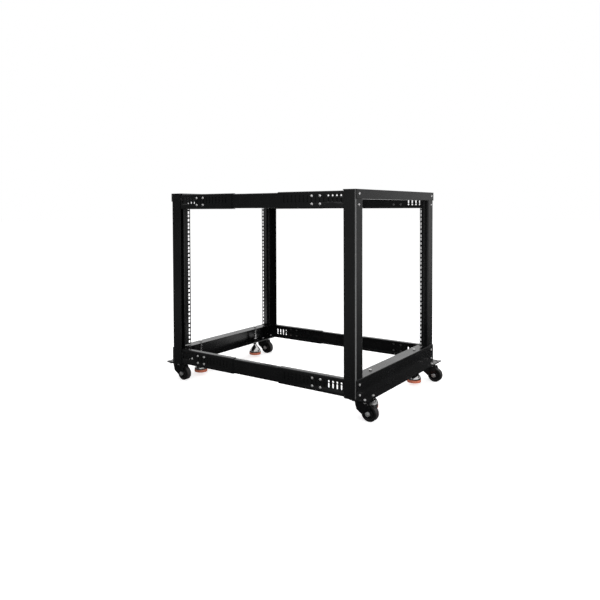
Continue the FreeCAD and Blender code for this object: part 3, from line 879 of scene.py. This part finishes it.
def box_middle(node):
    """The middle of a solid's box, in millimetres."""
    return tuple((a + b) / 2 / MM for a, b in zip(*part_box(node)))


for corner in CORNERS:
    x, y, z = box_middle(corner + "_caster_wheel")
    ends = [((x + side * LEG_FACE, y, z), (side, 0, 0)) for side in (-1, 1)]
    grow(corner + "_axle_nuts", nut_and_end, make_places(corner + "_axle_places", ends),
         corner + "_fork",
         {"Across Flats": 0.0136, "Nut Height": 0.0054, "Screw Radius": 0.0035,
          "Screw End": 0.0072, "Pitch": 0.0010})
print("axle nuts ready")

# %% [markdown]
# ### Levelling feet
# A foot is turned steel: a chromed bell, a neck and a threaded stud in one piece, on a moulded
# pad. Stacked cones could make it, but a turned shape is a row of radii along its axis. So its
# outline is written as pairs of radius and height, and a recipe sweeps a circle along the axis,
# scaled by each radius.

# %% The recipe for turned parts
def turned_recipe(name, finish):
    recipe = Recipe(name, {"Facets": 56.0})
    axis = recipe.node("GeometryNodeMeshToCurve", None, {"Mesh": recipe.places})
    ring = recipe.node("GeometryNodeCurvePrimitiveCircle", None,
                       {"Resolution": recipe.size["Facets"], "Radius": 1.0})
    radius = recipe.node("GeometryNodeInputNamedAttribute", {"data_type": "FLOAT"},
                         {"Name": "radius"})
    body = recipe.node("GeometryNodeCurveToMesh", None,
                       {"Curve": axis, "Profile Curve": ring, "Scale": radius,
                        "Fill Caps": True})
    return recipe.finish(body, finish)


def make_outline(name, middle, outline):
    """A line up the axis with a radius at each point, from pairs in millimetres."""
    mesh = bpy.data.meshes.new(name)
    mesh.from_pydata([(middle[0] * MM, middle[1] * MM, height * MM)
                      for radius, height in outline],
                     [(i, i + 1) for i in range(len(outline) - 1)], [])
    radii = mesh.attributes.new("radius", "FLOAT", "POINT")
    radii.data.foreach_set("value", [radius * MM for radius, height in outline])
    return mesh


turned_chrome = turned_recipe("turned chrome", chrome)
turned_pad = turned_recipe("moulded pad", pad_orange)
print("turning recipe ready")

# %% [markdown]
# ### Bell and pad
# The bell flares from the neck in one sweep to a rounded rim that sits on the pad. The pad is a
# low disc with a fine groove around it, where its two mould halves meet. Both replace the plain
# solids and slide with the foot's screw.

# %% Turn the four feet
PAD_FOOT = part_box("front_left_foot_pad")[0][2] / MM
PAD_TOP = PAD_FOOT + 10.0
NECK_TOP = PAD_TOP + 38.5
STUD_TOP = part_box("front_left_foot_stud")[1][2] / MM
STUD_RADIUS = 5.0

PAD_STEPS = ((22.6, 0.0), (24.3, 0.5), (25.0, 1.8), (25.0, 5.4), (24.6, 5.7), (24.6, 6.1),
             (25.0, 6.4), (25.0, 8.8), (24.7, 9.6), (23.9, 10.0))
BELL_STEPS = ((23.6, -0.4), (24.3, 0.3), (24.6, 1.2), (24.4, 5.0), (23.8, 8.0), (22.4, 11.4),
              (20.2, 14.8), (17.2, 18.4), (14.0, 21.8), (11.0, 25.0), (8.8, 28.0),
              (7.5, 31.0), (7.0, 34.0), (6.8, 36.0), (6.8, 37.7), (6.0, 38.3))


def raised(steps, height):
    return [(radius, height + rise) for radius, rise in steps]


pad_outline = raised(PAD_STEPS, PAD_FOOT)
bell_outline = raised(BELL_STEPS, PAD_TOP) + [(STUD_RADIUS, NECK_TOP),
                                              (STUD_RADIUS, STUD_TOP - 1.2),
                                              (STUD_RADIUS - 1.0, STUD_TOP - 0.05)]
foot_middles = {corner: box_middle(corner + "_foot_pad")[:2] for corner in CORNERS}
for corner, middle in foot_middles.items():
    pad = grow(corner + "_turned_pad", turned_pad,
               make_outline(corner + "_pad_outline", middle, pad_outline),
               corner + "_foot")
    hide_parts(corner + "_foot_pad")
    bell = grow(corner + "_bell_and_stud", turned_chrome,
                make_outline(corner + "_bell_outline", middle, bell_outline),
                corner + "_foot")
    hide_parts(corner + "_foot_stud")
print("feet turned")

# %% [markdown]
# ### Bosses, lock nuts and stud threads
# The stud of each foot screws through a boss that is welded to the beam's lower flange and
# coated with it. A bright lock nut is done up against the boss, and both stay where they are
# while the stud screws up and down. The stud's thread is the same spiral ridge as a screw's,
# and rides on the foot. The lock nut's recipe, with other sizes and finish, makes the boss too.

# %% Recipes for the lock nuts and the stud threads
def bored_nut_recipe(name, finish):
    recipe = Recipe(name, {"Across Flats": 0.0160, "Nut Height": 0.0052, "Bore": 0.0054})
    size = recipe.size
    nut = chamfered_nut(recipe, size["Across Flats"], size["Nut Height"], size["Bore"])
    return recipe.finish(recipe.at_places(nut, seed=3), finish)


def thread_recipe():
    recipe = Recipe("stud thread", {"Stud Radius": 0.0042, "Length": 0.060,
                                    "Pitch": 0.00125})
    size = recipe.size
    ridge = spiral_ridge(recipe, size["Stud Radius"], size["Length"],
                         turns=size["Length"] / size["Pitch"], tooth=size["Pitch"] * 0.22,
                         steps=14)
    return recipe.finish(recipe.at_places(ridge, seed=0), chrome)


lock_nut = bored_nut_recipe("lock nut", zinc)
flange_boss = bored_nut_recipe("flange boss", steel_black)
stud_thread = thread_recipe()
print("foot fastener recipes ready")

# %% Grow the lock nuts, the bosses and the stud threads
BOSS_HEIGHT = 8.0
THREAD_START = NECK_TOP + 1.0
THREAD_LENGTH = STUD_TOP - NECK_TOP - 3.0

nut_places = []
boss_places = []
for corner, middle in foot_middles.items():
    boss_places.append((middle + (FLANGE_TOP,), (0, 0, 1)))
    nut_places.append((middle + (FLANGE_TOP + BOSS_HEIGHT,), (0, 0, 1)))
    grow(corner + "_stud_thread", stud_thread,
         make_places(corner + "_thread_place", [(middle + (THREAD_START,), (0, 0, 1))]),
         corner + "_foot",
         {"Stud Radius": STUD_RADIUS * MM, "Length": THREAD_LENGTH * MM})
grow("foot_lock_nuts", lock_nut, make_places("lock_nut_places", nut_places), "frame")
grow("foot_bosses", flange_boss, make_places("boss_places", boss_places), "frame",
     {"Across Flats": 0.0170, "Nut Height": BOSS_HEIGHT * MM})
print("foot fasteners ready")

# %% [markdown]
# ### Perforated end rails
# The end pieces of each side rail are perforated along their whole length, so that the rack's
# depth can be set when it is put together. Only the end holes are open: further in, the middle
# piece lies behind them and closes them, so they read as a row of shallow dimples. A punch on
# the real rail makes one column at a time, and so does this recipe: a slot and a round hole are
# one tool, a line of points repeats it, and one Boolean cuts the rail.

# %% The perforation recipe
COLUMN_PITCH = 0.015
HOLE_RISE = 0.0125
TOOL_DEPTH = 0.008


def perforation_recipe():
    recipe = Recipe("rail perforation", {"Web": 0.0, "Height": 0.0, "First": 0.0,
                                         "Step": COLUMN_PITCH, "Columns": 11.0,
                                         "Rise": HOLE_RISE,
                                         "Slot Length": 0.0155, "Slot Width": 0.0055,
                                         "Round Radius": 0.0032})
    size = recipe.size
    outline = recipe.node("GeometryNodeCurvePrimitiveQuadrilateral", None,
                          {"Width": size["Slot Width"], "Height": size["Slot Length"]})
    outline = recipe.node("GeometryNodeFilletCurve", {"mode": "POLY"},
                          {"Curve": outline, "Radius": size["Slot Width"] * 0.499,
                           "Count": 5})
    run = recipe.node("GeometryNodeCurvePrimitiveLine", None,
                      {"Start": (-TOOL_DEPTH / 2, 0.0, 0.0), "End": (TOOL_DEPTH / 2, 0.0, 0.0)})
    slot = recipe.node("GeometryNodeCurveToMesh", None,
                       {"Curve": run, "Profile Curve": outline, "Fill Caps": True})
    drum = recipe.node("GeometryNodeMeshCylinder", None,
                       {"Vertices": 16, "Radius": size["Round Radius"], "Depth": TOOL_DEPTH})
    drum = recipe.move(drum, (0.0, 0.0, size["Rise"]), (0.0, math.pi / 2, 0.0))
    start = recipe.vector(size["Web"], size["First"], size["Height"])
    row = recipe.node("GeometryNodeMeshLine", None,
                      {"Count": size["Columns"], "Start Location": start,
                       "Offset": recipe.vector(0.0, size["Step"], 0.0)})
    tools = recipe.node("GeometryNodeInstanceOnPoints", None,
                        {"Points": row, "Instance": recipe.join(slot, drum)})
    tools = recipe.node("GeometryNodeRealizeInstances", None, {"Geometry": tools})
    return recipe.finish(recipe.cut(recipe.places, tools), steel_black)


perforation = perforation_recipe()
print("perforation recipe ready")

# %% [markdown]
# ### Eight rails to cut
# A left rail is a right one turned round, so the slots' order and the side of the round holes
# change sign with the rail's corner. The bottom rails have one column less at the rear, where a
# single screw takes its place. A Boolean needs a closed mesh, and a solid arrives as loose
# triangles, so each rail is copied and its corners are merged first.

# %% Perforate the eight end rails
FIRST_COLUMN = 0.273


def merged_copy(node, name):
    """A closed copy of a solid's loose triangles."""
    mesh = bmesh.new()
    mesh.from_mesh(nodes[node].data)
    bmesh.ops.remove_doubles(mesh, verts=mesh.verts, dist=0.00001)
    copy = bpy.data.meshes.new(name)
    mesh.to_mesh(copy)
    mesh.free()
    return copy


for x, hand in ((-1, "left"), (1, "right")):
    for level in ("bottom", "top"):
        for y, end in ((-1, "front"), (1, "rear")):
            node = "%s_%s_rail_%s" % (hand, level, end)
            skipped = 1 if level == "bottom" and end == "rear" else 0
            rail = grow(node + "_perforated", perforation, merged_copy(node, node + "_solid"),
                        "frame",
                        {"Web": x * (RAIL_FACE - SHEET / 2) * MM,
                         "Height": box_middle(node)[2] * MM,
                         "First": y * (FIRST_COLUMN - skipped * COLUMN_PITCH),
                         "Step": -y * COLUMN_PITCH, "Columns": 11.0 - skipped,
                         "Rise": -x * HOLE_RISE})
            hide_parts(node)
print("end rails perforated")

# %% [markdown]
# ## Sizes
# The finishes and fasteners must not change the rack's size, apart from the screw heads on
# the side rails, which stand out past the box of the solids. A box's corners are turned into
# plain numbers.

# %% Corners of a box as plain numbers
def corners(bounds):
    return [[float(number) for number in corner] for corner in bounds]
